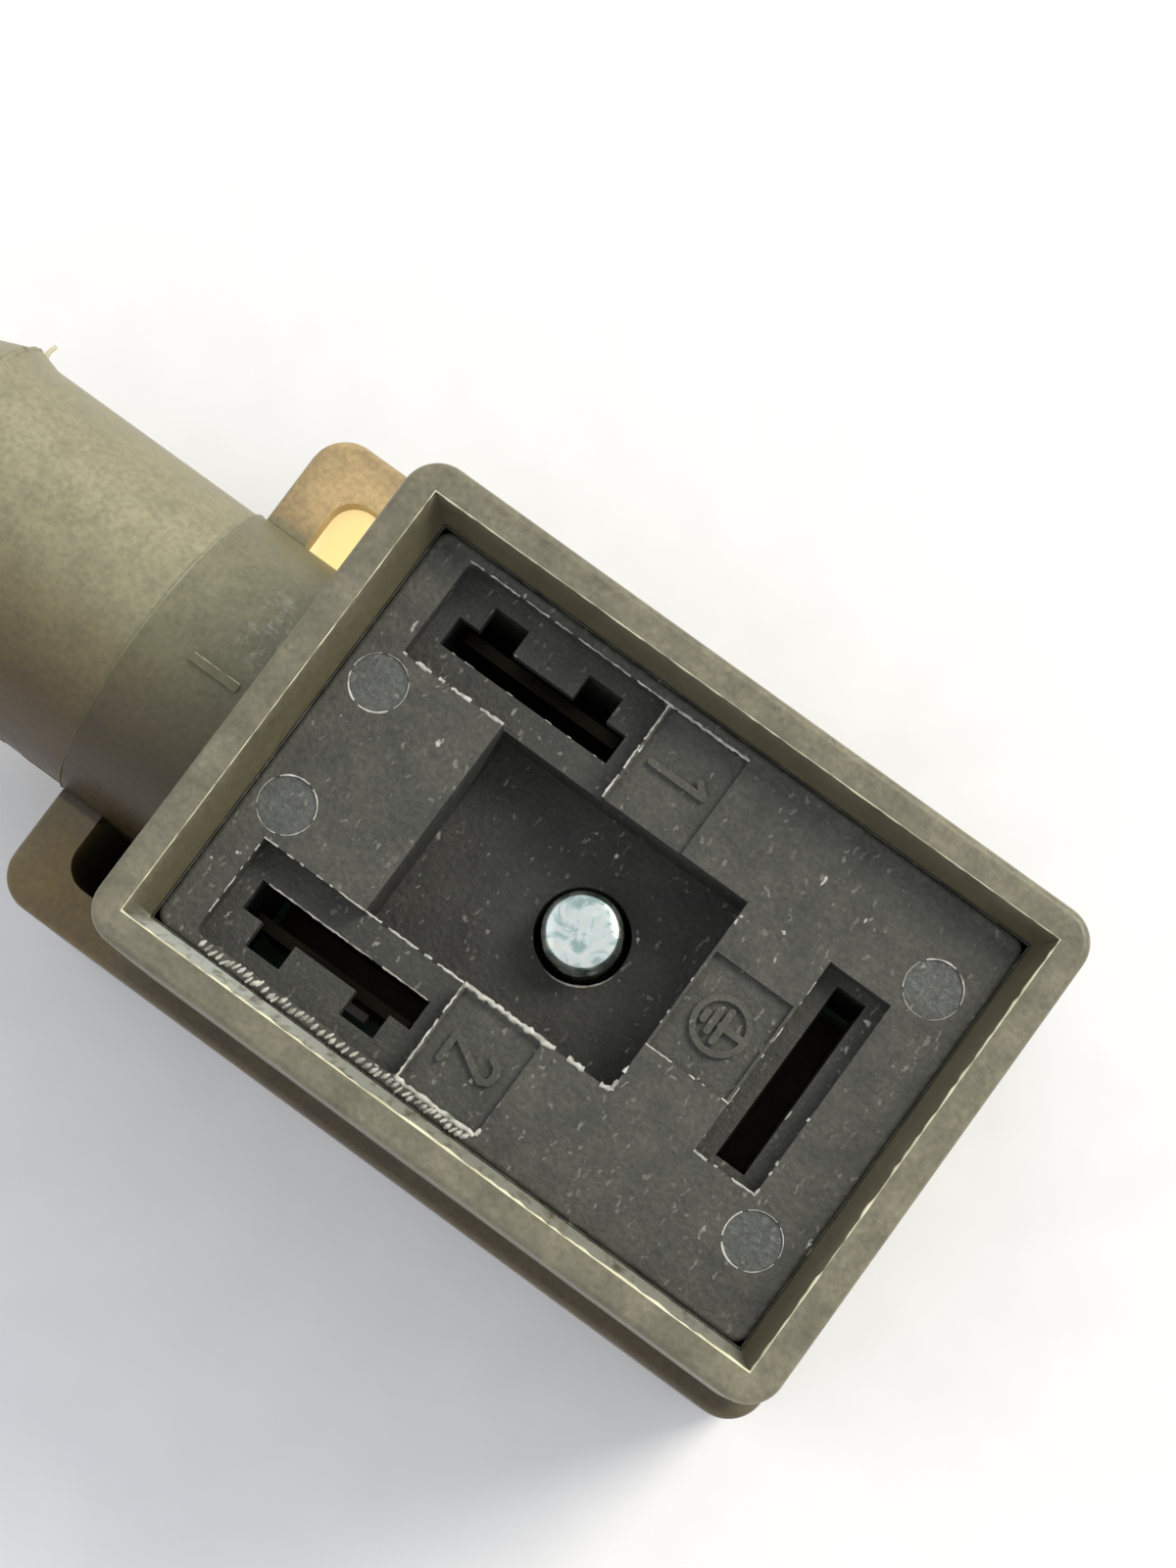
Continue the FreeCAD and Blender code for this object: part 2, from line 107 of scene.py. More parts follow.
# inputs for a map range; unit is mm where the ends are places
def span(value, ends, to=(0.0, 1.0), unit=1.0):
    return {"Value": value, "From Min": ends[0] * unit, "From Max": ends[1] * unit, "To Min": to[0], "To Max": to[1]}


def startMaterial(name):
    material = bpy.data.materials.new(name)
    material.use_nodes = True
    tree = material.node_tree
    tree.nodes.clear()
    shader = addNode(tree, "BsdfPrincipled")
    addNode(tree, "OutputMaterial", {"Surface": shader})
    place = addNode(tree, "TexCoord").outputs["Object"]
    return material, tree, shader, place


# depth is the relief's full height in millimetres
def bumpInto(tree, shader, height, strength, depth):
    bump = addNode(tree, "Bump", {"Height": height, "Strength": strength, "Distance": depth * mm})
    setInputs(tree, shader, {"Normal": bump})


# a material with one cloudy pattern, for its tone and for its relief if it has one
def cloudedMaterial(name, look):
    material, tree, shader, place = startMaterial(name)
    cloud = addNode(tree, "TexNoise", pattern(place, **look["cloud"]))
    tone = addNode(tree, "ValToRGB", {"Fac": cloud}, stops=look["tones"])
    setInputs(tree, shader, {"Base Color": tone, **look["surface"]})
    if "relief" in look:
        bumpInto(tree, shader, cloud, *look["relief"])
    return material


# places, aims and sizes are in millimetres, power in watts
studio = {
    "cameraPlace": (8.4775, -11.16, 131.95),
    "cameraRight": (0.80763, 0.58970, -0.00052),
    "cameraUp": (-0.58385, 0.79974, 0.13976),
    "cameraLens": 90.0,
    "cameraSensor": 36.0,
    "cameraReach": (0.005, 20),                        # metres
    "floorSize": 3.0,                                  # metres
    "floorGap": 0.2,                                   # keeps the floor clear of the hood's flat back
    # matte white card: no shine, a hint of fibre
    "paper": {"cloud": dict(size=3.0, Detail=3.0), "tones": ((0.3, "#FAFAF9"), (0.7, "#FEFEFD")),
              "surface": {"Roughness": 0.95}},
    "skyColour": "#F6F8FF",
    "skyStrength": 0.74,
    # each lamp: place, aim, size, power, colour
    "lamps": {
        "windowLamp": ((150, 330, 330), (0, 0, -10), 240, 1.6, "#FFFAEE"),
        "fillLamp": ((-260, -160, 420), (0, 0, -10), 420, 0.12, "#F4F8FF"),
    },
}


def makeView():
    right, up = Vector(studio["cameraRight"]), Vector(studio["cameraUp"])
    back = right.cross(up)
    data = bpy.data.cameras.new("viewCamera")
    data.lens, data.sensor_width = studio["cameraLens"], studio["cameraSensor"]
    data.clip_start, data.clip_end = studio["cameraReach"]
    camera = bpy.data.objects.new("viewCamera", data)
    turn = Matrix((right, up, back)).transposed().to_4x4()
    camera.matrix_world = Matrix.Translation(Vector(studio["cameraPlace"]) * mm) @ turn
    bpy.context.scene.collection.objects.link(camera)
    bpy.context.scene.camera = camera


def makeStudio():
    world = bpy.data.worlds.new("studioSky")
    world.use_nodes = True
    sky = world.node_tree.nodes["Background"]
    sky.inputs["Color"].default_value = hexToLinear(studio["skyColour"])
    sky.inputs["Strength"].default_value = studio["skyStrength"]
    bpy.context.scene.world = world
    for name, (place, aim, size, power, colour) in studio["lamps"].items():
        data = bpy.data.lights.new(name, "AREA")
        data.shape, data.size, data.energy = "DISK", size * mm, power
        data.color = hexToLinear(colour)[:3]
        lamp = bpy.data.objects.new(name, data)
        lamp.location = Vector(place) * mm
        lamp.rotation_euler = (Vector(aim) - Vector(place)).to_track_quat("-Z", "Y").to_euler()
        bpy.context.scene.collection.objects.link(lamp)
    half = studio["floorSize"] / 2
    z = cadBox[0].z - studio["floorGap"] * mm
    mesh = bpy.data.meshes.new("paperFloor")
    mesh.from_pydata([(-half, -half, z), (half, -half, z), (half, half, z), (-half, half, z)], [], [(0, 1, 2, 3)])
    mesh.materials.append(cloudedMaterial("mattePaper", studio["paper"]))
    floor = bpy.data.objects.new("paperFloor", mesh)
    bpy.context.scene.collection.objects.link(floor)
    bpy.context.scene.view_settings.view_transform = "Standard"


makeView()
makeStudio()
print("view and studio made")


# 1 inside a box given in millimetres, 0 outside, with a soft border inside its faces
def boxMask(tree, place, middle, half, soft):
    away = addNode(tree, "VectorMath", {0: place, 1: [c * mm for c in middle]}, operation="SUBTRACT")
    size = addNode(tree, "VectorMath", {0: away}, operation="ABSOLUTE")
    share = addNode(tree, "VectorMath", {0: size, 1: [c * mm for c in half]}, operation="DIVIDE")
    axes = addNode(tree, "SeparateXYZ", {"Vector": share})
    wide = addNode(tree, "Math", {0: axes.outputs["X"], 1: axes.outputs["Y"]}, operation="MAXIMUM")
    most = addNode(tree, "Math", {0: wide, 1: axes.outputs["Z"]}, operation="MAXIMUM")
    return addNode(tree, "MapRange", span(most, (1.0, 1.0 - soft)), interpolation_type="SMOOTHSTEP")


# Moulded polycarbonate with a smoke tint: hazy, light creeps through thin walls, amber where they are thinnest.
# Box masks are (middle, half size, soft share) in millimetres; ends are places along one axis.
polycarbonate = {
    "haze": dict(size=2.4, Detail=6.0, Roughness=0.7),
    "rimTones": ((0.30, "#6C6952"), (0.50, "#7F7B64"), (0.72, "#979278")),
    "bodyTones": ((0.30, "#6B644B"), (0.50, "#776F55"), (0.72, "#857D62")),
    "rimEnds": (-0.5, -6.0),
    "shadeSideEnds": (-9.5, -10.3),              # painted shade: the -Y side wall, turned from the lamp, is painted brown
    "shadeSideShare": 0.6,
    "shadeSideTone": "#4C3B1E",
    # ledges of the hood beside the neck: painted light, amber, on the +Y ledge that the lamp shines through, and
    # painted shade, brown, on the -Y ledge
    "litAndShadedLedges": ((((-16.9, 8.9, -13.0), (4.2, 3.3, 3.0), 0.8), "#D6BA84"),
               (((-16.9, -8.9, -13.0), (4.2, 3.3, 3.0), 0.8), "#7A6634")),
    "ledgeEnds": (-13.3, -13.45),            # nothing of that tone on the skirt's wall above them
    # painted shading across the neck, from its -Y side to its +Y side: painted shade, dark brown, on the -Y side and
    # a painted highlight band towards +Y, over the neck's olive tone
    "neckShadingTones": ((0.0, "#4C3B1A"), (0.08, "#48360F"), (0.2, "#5A491F"), (0.38, "#7F7550"), (0.5, "#948F6D"),
                  (0.74, "#A6A17F"), (0.93, "#958E6B"), (1.0, "#958E6B")),
    "neckSides": (-6.9, 6.9),
    "neckAxis": -13.5,
    "neckEnds": (6.75, 6.58),                # radius where the neck's own tone starts, and where it is full
    "rootEnds": (-13.6, -13.95),
    # spark-eroded mould surface, a speckle of about a fifth of a millimetre
    "speck": dict(size=0.24, Detail=3.0),
    "blotch": dict(size=1.1, Detail=4.0, Roughness=0.75),
    "grainEnds": (0.75, 1.25),
    "grain": ((0.0, 0.68), (1.0, 1.0)),
    # painted shade on the inner walls of the cavity round the carrier
    "innerWall": ((0.35, 0.0, -1.25), (13.3, 9.1, 1.0), 0.04),
    "innerShadeTone": "#5E563E",
    "innerShadeShare": 0.75,
    "collar": ((-16.7, 0.0, -8.0), (2.81, 6.5, 5.6), 0.02),
    "collarTone": "#CFD2CC",
    "collarShare": 0.9,
    # painted highlight: pale, frosted-looking streaks on the -Y inner wall, which faces the lamp, stronger towards -X
    "streak": dict(size=0.35, Detail=4.0),
    "streakStretch": (1.0, 1.0, 0.12),
    "streakEnds": (0.25, 0.5),
    "litWallHighlight": ((0.3, -8.77, -1.17), (13.2, 0.32, 0.98), 0.1),
    "litWallEnds": (-1.0, -9.0),
    "litWallShares": (0.42, 1.0),
    # whitish scuffs on the collar beside the skirt
    "scrape": dict(size=0.8, Detail=6.0, Roughness=0.8),
    "scrapeEnds": (0.5, 0.72),
    "scuff": ((-15.6, 2.4, -7.6), (1.6, 2.4, 2.2), 0.9),
    "scuffAndHighlightColour": "#C6CABF",
    # painted light: a pale patch with a faint glow on the thin ceiling of the pocket beside the neck, standing in for
    # daylight coming through it
    "pocket": ((-15.8, 7.7, -20.2), (2.3, 1.75, 5.6), 0.02),
    "pocketLightColour": "#FAEECB",
    "pocketGlow": 0.24,
    "roughEnds": (0.7, 1.3),
    "roughness": (0.36, 0.54),
    "surface": {"IOR": 1.58, "Subsurface Weight": 0.3, "Subsurface Radius": (1.0, 0.75, 0.35),
                "Subsurface Scale": 1.2 * mm},
    "relief": (0.5, 0.03),
}


def smokePolycarbonate():
    look = polycarbonate
    material, tree, shader, place = startMaterial("smokePolycarbonate")
    axes = addNode(tree, "SeparateXYZ", {"Vector": place})
    x, y, z = (axes.outputs[axis] for axis in "XYZ")
    haze = addNode(tree, "TexNoise", pattern(place, **look["haze"]))
    rimTone = addNode(tree, "ValToRGB", {"Fac": haze}, stops=look["rimTones"])
    bodyTone = addNode(tree, "ValToRGB", {"Fac": haze}, stops=look["bodyTones"])
    depth = addNode(tree, "MapRange", span(z, look["rimEnds"], unit=mm), interpolation_type="SMOOTHSTEP")
    walls = addNode(tree, "Mix", {mixBy: depth, mixFrom: rimTone, mixTo: bodyTone}, data_type="RGBA")

    # painted shade: brown on the -Y side wall, away from the lamp
    shadeSide = addNode(tree, "MapRange", span(y, look["shadeSideEnds"], (0.0, look["shadeSideShare"]), mm))
    side = addNode(tree, "Math", {0: shadeSide, 1: depth}, operation="MULTIPLY")
    last = addNode(tree, "Mix", {mixBy: side, mixFrom: walls.outputs[mixOut], mixTo: hexToLinear(look["shadeSideTone"])},
                   data_type="RGBA")
    # painted light on the +Y ledge, painted shade on the -Y ledge
    below = addNode(tree, "MapRange", span(z, look["ledgeEnds"], unit=mm))
    for ledge, colour in look["litAndShadedLedges"]:
        onLedge = addNode(tree, "Math", {0: boxMask(tree, place, *ledge), 1: below}, operation="MULTIPLY")
        last = addNode(tree, "Mix", {mixBy: onLedge, mixFrom: last.outputs[mixOut], mixTo: hexToLinear(colour)},
                       data_type="RGBA")

    # painted shade and painted highlight across the neck
    across = addNode(tree, "MapRange", span(y, look["neckSides"], unit=mm))
    neckShading = addNode(tree, "ValToRGB", {"Fac": across}, stops=look["neckShadingTones"])
    offAxis = addNode(tree, "VectorMath", {0: place, 1: (0, 0, look["neckAxis"] * mm)}, operation="SUBTRACT")
    section = addNode(tree, "VectorMath", {0: offAxis, 1: (0, 1, 1)}, operation="MULTIPLY")
    radius = addNode(tree, "VectorMath", {0: section}, operation="LENGTH").outputs["Value"]
    near = addNode(tree, "MapRange", span(radius, look["neckEnds"], unit=mm))
    behind = addNode(tree, "MapRange", span(x, look["rootEnds"], unit=mm))
    onNeck = addNode(tree, "Math", {0: near, 1: behind}, operation="MULTIPLY")
    toned = addNode(tree, "Mix", {mixBy: onNeck, mixFrom: last.outputs[mixOut], mixTo: neckShading}, data_type="RGBA")

    speck = addNode(tree, "TexNoise", pattern(place, **look["speck"]))
    blotch = addNode(tree, "TexNoise", pattern(place, **look["blotch"]))
    mottle = addNode(tree, "Math", {0: speck, 1: blotch}, operation="ADD")
    spread = addNode(tree, "MapRange", span(mottle, look["grainEnds"]))
    grain = addNode(tree, "ValToRGB", {"Fac": spread}, stops=look["grain"])
    grainy = addNode(tree, "Mix", {mixBy: 1.0, mixFrom: toned.outputs[mixOut], mixTo: grain}, data_type="RGBA",
                     blend_type="MULTIPLY")
    # painted shade on the cavity's inner walls
    inner = addNode(tree, "Math", {0: boxMask(tree, place, *look["innerWall"]), 1: look["innerShadeShare"]},
                    operation="MULTIPLY")
    shaded = addNode(tree, "Mix", {mixBy: inner, mixFrom: grainy.outputs[mixOut],
                                   mixTo: hexToLinear(look["innerShadeTone"])}, data_type="RGBA")
    collar = addNode(tree, "Math", {0: boxMask(tree, place, *look["collar"]), 1: look["collarShare"]},
                     operation="MULTIPLY")
    cooled = addNode(tree, "Mix", {mixBy: collar, mixFrom: shaded.outputs[mixOut],
                                   mixTo: hexToLinear(look["collarTone"])}, data_type="RGBA", blend_type="MULTIPLY")

    # painted highlight on the -Y inner wall, drawn as streaks
    stretched = addNode(tree, "Mapping", {"Vector": place, "Scale": look["streakStretch"]})
    streaks = addNode(tree, "TexNoise", pattern(stretched, **look["streak"]))
    streakMask = addNode(tree, "MapRange", span(streaks, look["streakEnds"]))
    fading = addNode(tree, "MapRange", span(x, look["litWallEnds"], look["litWallShares"], mm))
    faded = addNode(tree, "Math", {0: streakMask, 1: fading}, operation="MULTIPLY")
    wall = addNode(tree, "Math", {0: faded, 1: boxMask(tree, place, *look["litWallHighlight"])}, operation="MULTIPLY")
    scrape = addNode(tree, "TexNoise", pattern(place, **look["scrape"]))
    scraped = addNode(tree, "MapRange", span(scrape, look["scrapeEnds"]))
    scuff = addNode(tree, "Math", {0: scraped, 1: boxMask(tree, place, *look["scuff"])}, operation="MULTIPLY")
    # pale from the collar's real scuffs and from the painted highlight on the -Y inner wall
    pale = addNode(tree, "Math", {0: wall, 1: scuff}, operation="MAXIMUM")
    rubbed = addNode(tree, "Mix", {mixBy: pale, mixFrom: cooled.outputs[mixOut],
                                   mixTo: hexToLinear(look["scuffAndHighlightColour"])}, data_type="RGBA")

    # painted light: pale base colour and emission on the pocket's ceiling
    pocket = boxMask(tree, place, *look["pocket"])
    bright = hexToLinear(look["pocketLightColour"])
    lit = addNode(tree, "Mix", {mixBy: pocket, mixFrom: rubbed.outputs[mixOut], mixTo: bright}, data_type="RGBA")
    glow = addNode(tree, "Mix", {mixBy: pocket, mixFrom: (0, 0, 0, 1), mixTo: bright}, data_type="RGBA")
    rough = addNode(tree, "MapRange", span(mottle, look["roughEnds"], look["roughness"]))
    setInputs(tree, shader, {"Base Color": lit.outputs[mixOut], "Emission Color": glow.outputs[mixOut],
                             "Emission Strength": look["pocketGlow"], "Roughness": rough, **look["surface"]})
    bumpInto(tree, shader, mottle, *look["relief"])
    return material


# Moulded glass-filled nylon: dark, matte and granular, with pale flecks of glass and dust lying on it.
nylonLook = {
    "cloud": dict(size=1.6, Detail=6.0, Roughness=0.7),
    "tones": ((0.3, "#41413A"), (0.7, "#5A5A50")),
    "fibre": dict(size=0.16, Detail=2.0),    # drawn coarser: real fibres are about 0.01 mm thick
    "fibreTones": ((0.35, 0.70), (0.66, 1.0)),
    # recesses are darker the deeper they go; shares from the recess floor to the face
    "depthEnds": (-5.8, -2.05),
    "depthTones": ((0.0, 0.55), (0.55, 0.62), (0.9, 0.85), (1.0, 1.0)),
    # smoother, scratched discs left by the ejector pins: x and distance from the middle line
    "ejectors": ((-10.68, 2.65), (11.025, 5.3)),
    "ejectorRadius": 1.03,
    "ejectorTone": "#6C726E",
    "scratch": dict(size=0.5, Detail=5.0, Roughness=0.8, Distortion=1.5),
    "scratchEnds": (0.45, 0.7),
    "scratchShares": (0.1, 0.75),
    # specks, bent a little out of line: cell in millimetres, share of cells that hold one, radius as a share
    # of the cell, strength, turn of the pattern, colour
    "specks": ((0.27, 0.5, 0.30, 0.6, 0.55, "#8F8D82"), (0.7, 0.42, 0.14, 1.0, 0.9, "#D2D0C4")),
    "speckStretch": (1.0, 0.5, 1.0),
    "speckCore": 0.6,
    "bend": dict(size=0.5, Detail=2.0),
    "bendShare": 0.0006,
    "lyingEnds": (-7.5, -6.0),
    "lyingShares": (0.2, 1.0),
    "roughness": (0.66, 0.4),                # moulded skin, ejector discs
    "surface": {"IOR": 1.53},
    "grain": dict(size=0.28, Detail=4.0, Roughness=0.65),
    "relief": (0.8, 0.085),
}


def glassFilledNylon():
    look = nylonLook
    material, tree, shader, place = startMaterial("glassFilledNylon")
    axes = addNode(tree, "SeparateXYZ", {"Vector": place})
    x, z = axes.outputs["X"], axes.outputs["Z"]
    cloud = addNode(tree, "TexNoise", pattern(place, **look["cloud"]))
    tone = addNode(tree, "ValToRGB", {"Fac": cloud}, stops=look["tones"])
    fibre = addNode(tree, "TexNoise", pattern(place, **look["fibre"]))
    fibres = addNode(tree, "ValToRGB", {"Fac": fibre}, stops=look["fibreTones"])
    toned = addNode(tree, "Mix", {mixBy: 1.0, mixFrom: tone, mixTo: fibres}, data_type="RGBA", blend_type="MULTIPLY")
    # darker the deeper the recess
    level = addNode(tree, "MapRange", span(z, look["depthEnds"], unit=mm))
    deeper = addNode(tree, "ValToRGB", {"Fac": level}, stops=look["depthTones"])
    darker = addNode(tree, "Mix", {mixBy: 1.0, mixFrom: toned.outputs[mixOut], mixTo: deeper}, data_type="RGBA",
                     blend_type="MULTIPLY")

    sizes = addNode(tree, "VectorMath", {0: place}, operation="ABSOLUTE")
    sides = addNode(tree, "SeparateXYZ", {"Vector": sizes})
    flat = addNode(tree, "CombineXYZ", {"X": x, "Y": sides.outputs["Y"], "Z": 0.0})
    discs = []
    for along, aside in look["ejectors"]:
        away = addNode(tree, "VectorMath", {0: flat, 1: (along * mm, aside * mm, 0)}, operation="DISTANCE")
        discs.append(addNode(tree, "Math", {0: away.outputs["Value"], 1: look["ejectorRadius"] * mm},
                             operation="LESS_THAN"))
    disc = addNode(tree, "Math", {0: discs[0], 1: discs[1]}, operation="MAXIMUM")
    scratch = addNode(tree, "TexNoise", pattern(place, **look["scratch"]))
    scratched = addNode(tree, "MapRange", span(scratch, look["scratchEnds"], look["scratchShares"]))
    rubbed = addNode(tree, "Math", {0: disc, 1: scratched}, operation="MULTIPLY")
    last = addNode(tree, "Mix", {mixBy: rubbed, mixFrom: darker.outputs[mixOut],
                                 mixTo: hexToLinear(look["ejectorTone"])}, data_type="RGBA")

    lying = addNode(tree, "MapRange", span(z, look["lyingEnds"], look["lyingShares"], mm))
    for size, share, radius, strength, turn, colour in look["specks"]:
        turned = addNode(tree, "Mapping", {"Vector": place, "Rotation": (0, 0, turn), "Scale": look["speckStretch"]})
        warp = addNode(tree, "TexNoise", pattern(place, **look["bend"])).outputs["Color"]
        bent = addNode(tree, "Mix", {mixBy: look["bendShare"], bendFrom: turned, bendTo: warp}, data_type="VECTOR")
        cells = addNode(tree, "TexVoronoi", pattern(bent.outputs[bendOut], size))
        inside = addNode(tree, "MapRange", span(cells.outputs["Distance"], (radius, radius * look["speckCore"])))
        pick = addNode(tree, "SeparateXYZ", {"Vector": cells.outputs["Color"]})
        few = addNode(tree, "Math", {0: pick.outputs["X"], 1: share}, operation="LESS_THAN")
        some = addNode(tree, "Math", {0: inside, 1: few}, operation="MULTIPLY")
        faint = addNode(tree, "Math", {0: some, 1: pick.outputs["Y"]}, operation="MULTIPLY")
        kept = addNode(tree, "Math", {0: faint, 1: lying}, operation="MULTIPLY")
        mask = addNode(tree, "Math", {0: kept, 1: strength}, operation="MULTIPLY")
        last = addNode(tree, "Mix", {mixBy: mask, mixFrom: last.outputs[mixOut], mixTo: hexToLinear(colour)},
                       data_type="RGBA")
    rough = addNode(tree, "MapRange", span(disc, (0.0, 1.0), look["roughness"]))
    setInputs(tree, shader, {"Base Color": last.outputs[mixOut], "Roughness": rough, **look["surface"]})
    grain = addNode(tree, "TexNoise", pattern(place, **look["grain"]))
    bumpInto(tree, shader, grain, *look["relief"])
    return material


# Steel with bright zinc plating: cool silver, passivated in faint blue and straw swirls, fine turning marks.
zincLook = {
    "patch": dict(size=0.9, Detail=4.0, Distortion=1.6),
    "tones": ((0.36, "#B0C9C0"), (0.5, "#EAF6F0"), (0.66, "#F6F5E6")),
    "roughness": (0.14, 0.38),
    "swirl": {"size": 9.0, "Distortion": 14.0, "Detail": 3.0, "Detail Scale": 1.4},
    "relief": (0.7, 0.05),
}


def brightZinc():
    look = zincLook
    material, tree, shader, place = startMaterial("brightZinc")
    patch = addNode(tree, "TexNoise", pattern(place, **look["patch"]))
    tone = addNode(tree, "ValToRGB", {"Fac": patch}, stops=look["tones"])
    rough = addNode(tree, "MapRange", span(patch, (0.0, 1.0), look["roughness"]))
    setInputs(tree, shader, {"Base Color": tone, "Metallic": 1.0, "Roughness": rough})
    swirl = addNode(tree, "TexWave", pattern(place, **look["swirl"]), wave_type="RINGS", rings_direction="Z")
    bumpInto(tree, shader, swirl.outputs["Fac"], *look["relief"])
    return material


# Stamped brass with tin plating: warm dull silver with rolling lines; the springs up in their cells are painted near
# black as painted shade.
tinLook = {
    "stretch": (1.0, 1.0, 0.15),
    "lines": dict(size=0.18, Detail=4.0),
    "tones": ((0.3, "#B7B19C"), (0.7, "#DAD6C8")),
    "cellShadeEnds": (-12.9, -12.4),
    "cellShadeTone": "#221E17",
    "roughness": (0.26, 0.44),
    "relief": (0.3, 0.01),
}


def tinnedBrass():
    look = tinLook
    material, tree, shader, place = startMaterial("tinnedBrass")
    stretched = addNode(tree, "Mapping", {"Vector": place, "Scale": look["stretch"]})
    lines = addNode(tree, "TexNoise", pattern(stretched, **look["lines"]))
    tone = addNode(tree, "ValToRGB", {"Fac": lines}, stops=look["tones"])
    # painted shade: near black above the cells' floor, where the springs sit in the dark slots
    axes = addNode(tree, "SeparateXYZ", {"Vector": place})
    high = addNode(tree, "MapRange", span(axes.outputs["Z"], look["cellShadeEnds"], unit=mm))
    cellShaded = addNode(tree, "Mix", {mixBy: high, mixFrom: tone, mixTo: hexToLinear(look["cellShadeTone"])},
                        data_type="RGBA")
    rough = addNode(tree, "MapRange", span(lines, (0.0, 1.0), look["roughness"]))
    setInputs(tree, shader, {"Base Color": cellShaded.outputs[mixOut], "Metallic": 1.0, "Roughness": rough})
    bumpInto(tree, shader, lines, *look["relief"])
    return material


# Glass-epoxy board with green mask: glossy, its tracks stand up a little under the mask.
boardLook = {
    "tracks": {"size": 4.0, "Mortar Size": 0.12, "Color1": (0, 0, 0, 1), "Color2": (0, 0, 0, 1),
               "Mortar": (1, 1, 1, 1)},
    "maskTone": "#1E5A34",
    "trackTone": "#2F7D48",
    "surface": {"Roughness": 0.28, "IOR": 1.55},
    "relief": (0.5, 0.035),
}


def solderMask():
    look = boardLook
    material, tree, shader, place = startMaterial("solderMaskBoard")
    tracks = addNode(tree, "TexBrick", pattern(place, **look["tracks"]))
    tone = addNode(tree, "Mix", {mixBy: tracks, mixFrom: hexToLinear(look["maskTone"]),
                                 mixTo: hexToLinear(look["trackTone"])}, data_type="RGBA")
    setInputs(tree, shader, {"Base Color": tone.outputs[mixOut], **look["surface"]})
    bumpInto(tree, shader, tracks, *look["relief"])
    return material


# Lacquered film resistor: beige and softly uneven, with colour bands painted round it.
lacquerLook = {
    "bands": ((0.0, "#CFC6AC"), (0.18, "#7A4A22"), (0.27, "#CFC6AC"), (0.38, "#101010"), (0.47, "#CFC6AC"),
              (0.56, "#C8641E"), (0.65, "#CFC6AC"), (0.80, "#B99A45"), (0.88, "#CFC6AC")),
    "surface": {"Roughness": 0.35, "IOR": 1.5},
    "dip": dict(size=0.6, Detail=2.0),
    "relief": (0.3, 0.03),
}


# ends are where the lacquered body starts and stops, in millimetres
def bandedLacquer(ends):
    look = lacquerLook
    material, tree, shader, place = startMaterial("bandedLacquer")
    axes = addNode(tree, "SeparateXYZ", {"Vector": place})
    along = addNode(tree, "MapRange", span(axes.outputs["X"], ends, unit=mm))
    bands = addNode(tree, "ValToRGB", {"Fac": along}, stops=look["bands"])
    bands.color_ramp.interpolation = "CONSTANT"
    setInputs(tree, shader, {"Base Color": bands, **look["surface"]})
    dip = addNode(tree, "TexNoise", pattern(place, **look["dip"]))
    bumpInto(tree, shader, dip, *look["relief"])
    return material


clouded = {
    # stress-whitened flash of the carrier's nylon: pale and dry; the same pale colour is also painted highlight on
    # edges that face the lamp
    "rubbedNylonAndHighlight": {"cloud": dict(size=0.5, Detail=3.0), "tones": ((0.3, "#7D7B70"), (0.62, "#D6D4C8")),
                    "surface": {"Roughness": 0.55, "IOR": 1.53}},
    # thin edge of the smoke plastic: painted light, a pale colour standing in for light guided inside the wall coming
    # out there
    "glowPaintedPolycarbonateEdge": {"cloud": dict(size=3.0, Detail=2.0), "tones": ((0.3, "#BDB792"), (0.55, "#F3EFCB")),
                             "surface": {"Roughness": 0.3, "IOR": 1.58}},
    # moulded nitrile rubber: black and dull, bloomed in patches
    "nitrileRubber": {"cloud": dict(size=1.0, Detail=5.0), "tones": ((0.35, "#171716"), (0.75, "#2E2E2C")),
                      "surface": {"Roughness": 0.72, "IOR": 1.52}, "relief": (0.4, 0.02)},
    # unfilled nylon: milky white, lets light in a little
    "naturalNylon": {"cloud": dict(size=2.0, Detail=3.0), "tones": ((0.3, "#D8D3C4"), (0.7, "#ECE8DC")),
                     "surface": {"Roughness": 0.45, "IOR": 1.53, "Subsurface Weight": 0.3,
                                 "Subsurface Scale": 0.6 * mm}},
    # cast epoxy lens with a yellow tint: clear and glossy
    "tintedEpoxy": {"cloud": dict(size=2.5, Detail=2.0), "tones": ((0.3, "#E9A92B"), (0.7, "#F6C75A")),
                    "surface": {"Roughness": 0.08, "IOR": 1.55, "Transmission Weight": 0.55}},
    # dipped epoxy coat: blue, slightly pitted
    "dippedEpoxy": {"cloud": dict(size=0.7, Detail=4.0), "tones": ((0.3, "#1B3F86"), (0.7, "#2C5BB0")),
                    "surface": {"Roughness": 0.38, "IOR": 1.55}, "relief": (0.5, 0.06)},
}
smoke = smokePolycarbonate()
nylon = glassFilledNylon()
zinc = brightZinc()
tin = tinnedBrass()
ready = {name: cloudedMaterial(name, look) for name, look in clouded.items()}
print("materials made")


def addPiece(name, mesh, material, body, sharpAngle):
    mesh.materials.append(material)
    mesh.shade_smooth()
    mesh.set_sharp_from_angle(angle=math.radians(sharpAngle))
    piece = bpy.data.objects.new(name, mesh)
    bpy.context.scene.collection.objects.link(piece)
    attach(piece, body)
    return piece


